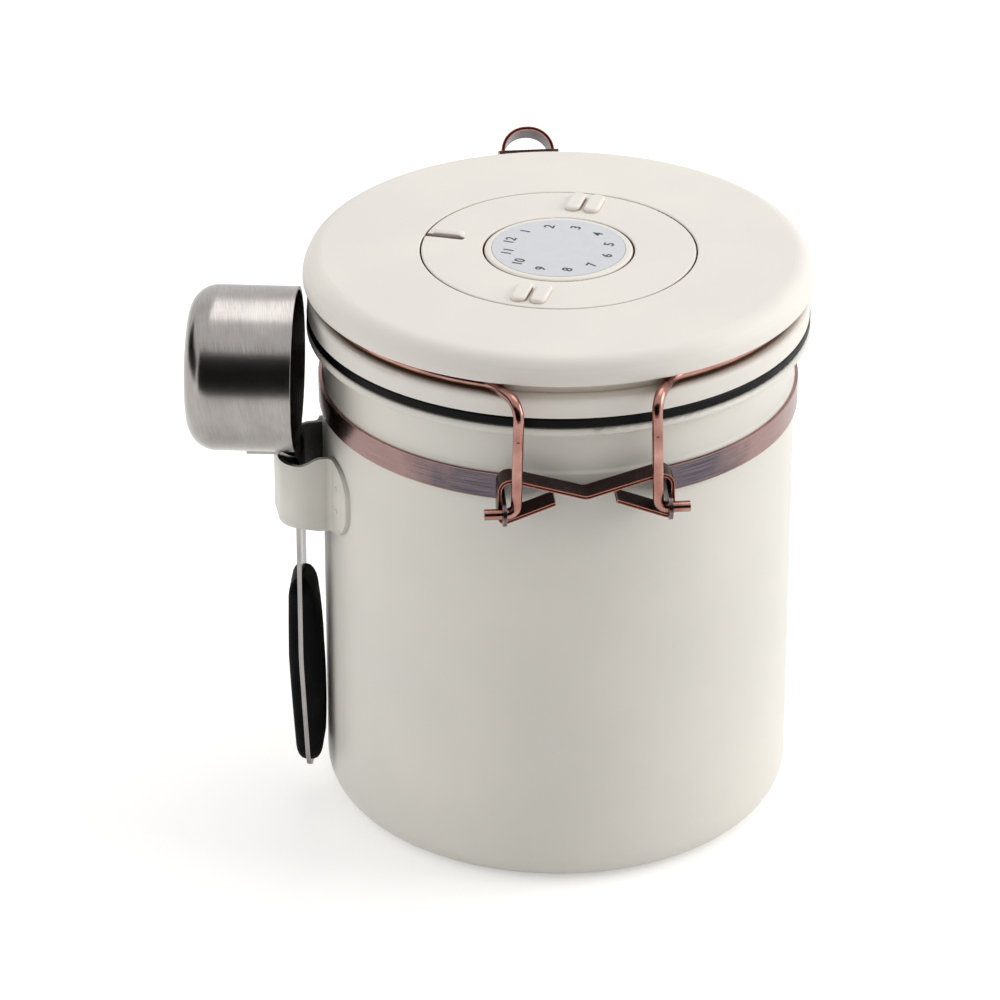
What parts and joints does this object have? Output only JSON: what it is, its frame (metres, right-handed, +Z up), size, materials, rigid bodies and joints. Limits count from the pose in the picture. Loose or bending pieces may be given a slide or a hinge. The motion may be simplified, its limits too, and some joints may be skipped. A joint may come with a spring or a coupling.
{
  "type": "coffee canister with valve",
  "caption": "Round steel canister with a wire-hinged clamp lid, a month dial over a one-way gas valve, a lever latch at the back and a scoop hanging in a side holster.",
  "frame": {"origin": "centre of the flat base", "axes": "+Z up along the body's axis; the lid's hinge is on the -Y side, the latch on the +Y side and the scoop hangs on the -X side"},
  "size_m": [0.1665, 0.1658, 0.158],
  "materials": {
    "powder_coat": "matte warm ivory powder coat on drawn steel",
    "lid_plastic": "moulded ivory plastic, satin",
    "dial_plastic": "moulded ivory plastic, satin",
    "label_film": "pale grey-blue printed film",
    "seal_rubber": "black moulded silicone",
    "copper_wire": "antique copper plating on drawn steel wire",
    "copper_strip": "antique copper plating on pressed steel strip",
    "band_steel": "dark gunmetal band with copper edges",
    "scoop_steel": "brushed stainless steel",
    "liner_steel": "pressed stainless steel",
    "grip_rubber": "black moulded rubber",
    "valve_plastic": "moulded white plastic",
    "filter_paper": "pressed filter paper"
  },
  "bodies": {
    "canister": {"canister_body": "powder_coat", "clamp_band": "band_steel", "band_tie": "copper_strip", "latch_keeper": "copper_strip", "holster": "powder_coat"},
    "lid": {"lid_shell": "lid_plastic", "lid_collar": "lid_plastic", "lid_gasket": "seal_rubber", "lid_liner": "liner_steel", "lid_wire": "copper_wire", "dial_cap": "dial_plastic", "dial_label": "label_film", "valve_seat": "valve_plastic", "valve_retainer": "valve_plastic", "valve_filter": "filter_paper"},
    "month_ring": {"date_ring": "dial_plastic"},
    "gas_valve": {"valve_disc": "seal_rubber"},
    "latch": {"latch_lever": "copper_strip"},
    "scoop": {"scoop_cup": "scoop_steel", "scoop_handle": "scoop_steel", "scoop_grip_outer": "grip_rubber", "scoop_grip_inner": "grip_rubber"}
  },
  "joints": [
    {"name": "lid_hinge", "type": "hinge", "parent": "canister", "child": "lid", "pos_m": [0, -0.0715, 0.117], "axis": [1, 0, 0], "range_deg": [0, 100]},
    {"name": "month_ring_turn", "type": "hinge", "parent": "lid", "child": "month_ring", "pos_m": [0, 0, 0.1548], "axis": [0, 0, 1], "continuous": true},
    {"name": "valve_lift", "type": "slide", "parent": "lid", "child": "gas_valve", "axis": [0, 0, 1], "range_m": [0, 0.0008]},
    {"name": "latch_swing", "type": "hinge", "parent": "lid", "child": "latch", "pos_m": [0, 0.0795, 0.1475], "axis": [1, 0, 0], "range_deg": [0, 95]},
    {"name": "scoop_lift", "type": "slide", "parent": "canister", "child": "scoop", "axis": [0, 0, 1], "range_m": [0, 0.055]}
  ]
}
